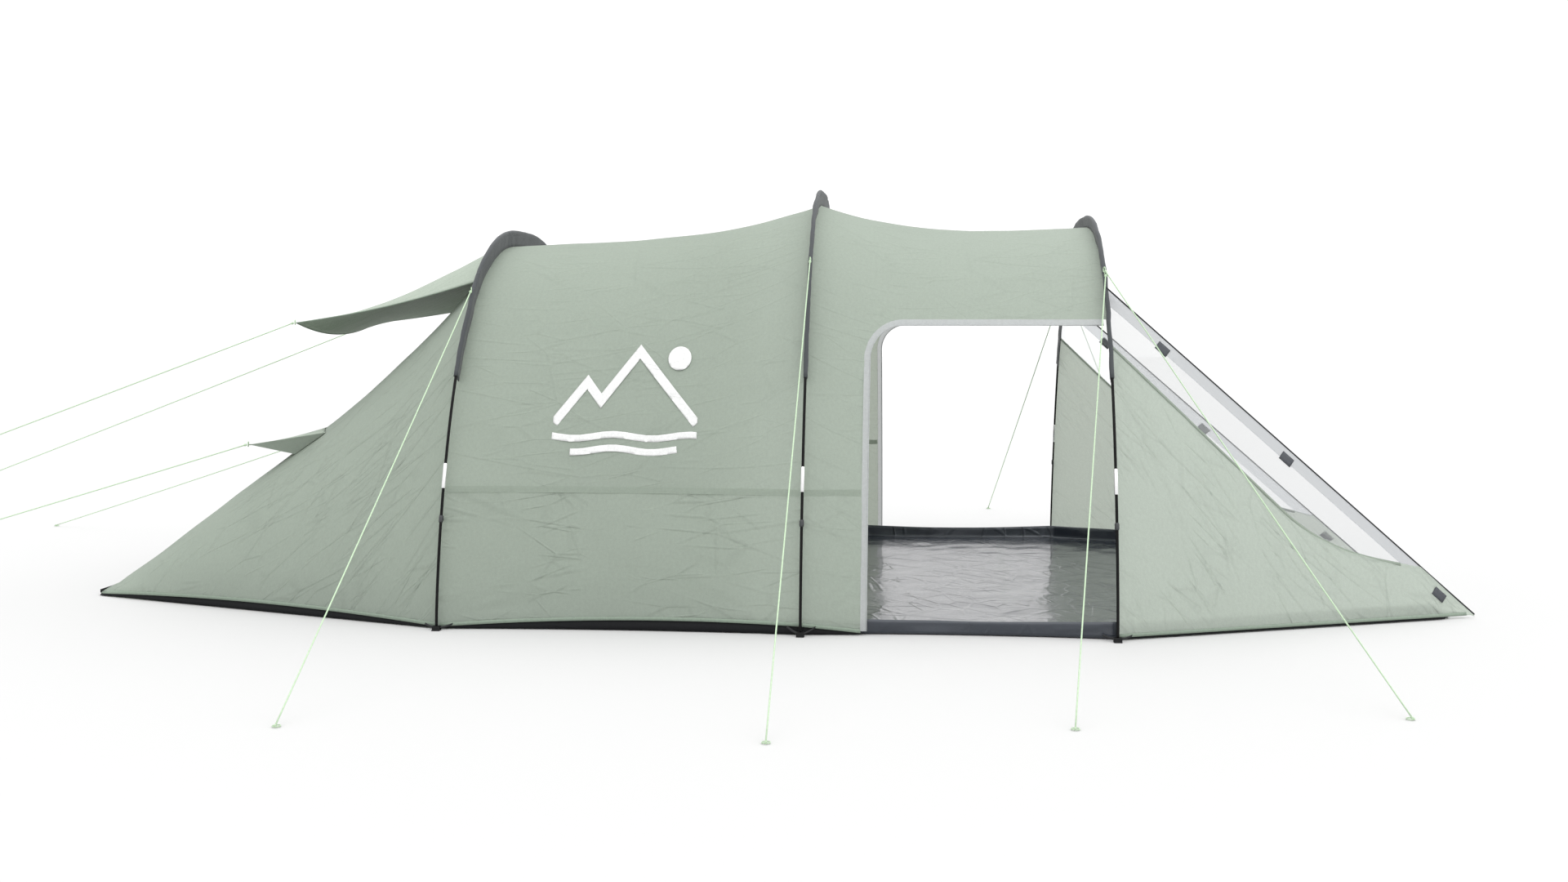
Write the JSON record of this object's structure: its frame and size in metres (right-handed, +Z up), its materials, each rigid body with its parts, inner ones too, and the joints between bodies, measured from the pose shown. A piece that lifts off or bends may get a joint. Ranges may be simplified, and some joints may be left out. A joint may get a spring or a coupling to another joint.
{
  "type": "tunnel tent",
  "caption": "Tunnel tent on bent rod hoops in outside sleeves, with a sloping rear, side doorways, an open porch between windowed wings, an inner tent and guy lines.",
  "frame": {"origin": "on the ground, in the middle of the pegged length and of the width", "axes": "+X along the tent towards the porch, +Z up"},
  "size_m": [6.9234, 4.8984, 1.5071],
  "materials": {
    "fly": "matte coated polyester, pale sage green",
    "sleeve": "matte woven polyester, charcoal",
    "rod": "satin black glass-fibre reinforced plastic",
    "ferrule": "bright drawn tube",
    "foot": "moulded black plastic",
    "groundsheet": "coated polyethylene weave, glossy inside",
    "inner_floor": "black coated polyethylene weave",
    "inner": "breathable polyester",
    "trim": "pale grey coated tape",
    "window": "clear flexible film",
    "guy": "braided cord"
  },
  "bodies": {
    "tent": {"rod_middle_arch": "rod", "rod_middle_leg_near": "rod", "rod_middle_leg_far": "rod", "ferrule_middle_near": "ferrule", "ferrule_middle_far": "ferrule", "sleeve_middle": "sleeve", "foot_middle_near": "foot", "foot_middle_far": "foot", "fly_nose": "fly", "fly_rear_roof": "fly", "fly_rear_side_near": "fly", "fly_rear_side_far": "fly", "hood_upper": "fly", "vent_flap_lower": "fly", "inner_floor": "inner_floor", "inner_tunnel": "inner", "inner_front_wall": "inner", "inner_door_roll": "inner", "guy_rear_near": "guy", "guy_rear_far": "guy", "guy_hood_near": "guy", "guy_hood_far": "guy", "guy_flap_near": "guy", "guy_flap_far": "guy", "fly_front_bay": "fly", "groundsheet": "groundsheet", "door_trim_near": "trim", "door_trim_far": "trim", "wing_near": "fly", "wing_far": "fly", "edge_strip_near": "trim", "edge_strip_far": "trim", "window_near": "window", "window_far": "window", "guy_front_back_near": "guy", "guy_front_back_far": "guy", "guy_front_ahead_near": "guy", "guy_front_ahead_far": "guy", "guy_middle_near": "guy", "guy_middle_far": "guy"},
    "hoop_rear": {"rod_rear_arch": "rod", "rod_rear_leg_near": "rod", "rod_rear_leg_far": "rod", "ferrule_rear_near": "ferrule", "ferrule_rear_far": "ferrule", "sleeve_rear": "sleeve", "foot_rear_near": "foot", "foot_rear_far": "foot"},
    "hoop_front": {"rod_front_arch": "rod", "rod_front_leg_near": "rod", "rod_front_leg_far": "rod", "ferrule_front_near": "ferrule", "ferrule_front_far": "ferrule", "sleeve_front": "sleeve", "foot_front_near": "foot", "foot_front_far": "foot"}
  },
  "joints": [
    {"name": "hoop_rear_slide", "type": "slide", "parent": "tent", "child": "hoop_rear", "axis": [1, 0, 0], "range_m": [0, 1], "deforming": ["fly_nose", "fly_rear_roof", "fly_rear_side_near", "fly_rear_side_far", "hood_upper", "vent_flap_lower", "inner_floor", "inner_tunnel", "inner_front_wall", "inner_door_roll", "guy_rear_near", "guy_rear_far", "guy_hood_near", "guy_hood_far", "guy_flap_near", "guy_flap_far"]},
    {"name": "hoop_front_slide", "type": "slide", "parent": "tent", "child": "hoop_front", "axis": [-1, 0, 0], "range_m": [0, 0.84], "deforming": ["fly_front_bay", "groundsheet", "door_trim_near", "door_trim_far", "wing_near", "wing_far", "edge_strip_near", "edge_strip_far", "window_near", "window_far", "guy_front_back_near", "guy_front_back_far", "guy_front_ahead_near", "guy_front_ahead_far"]}
  ]
}
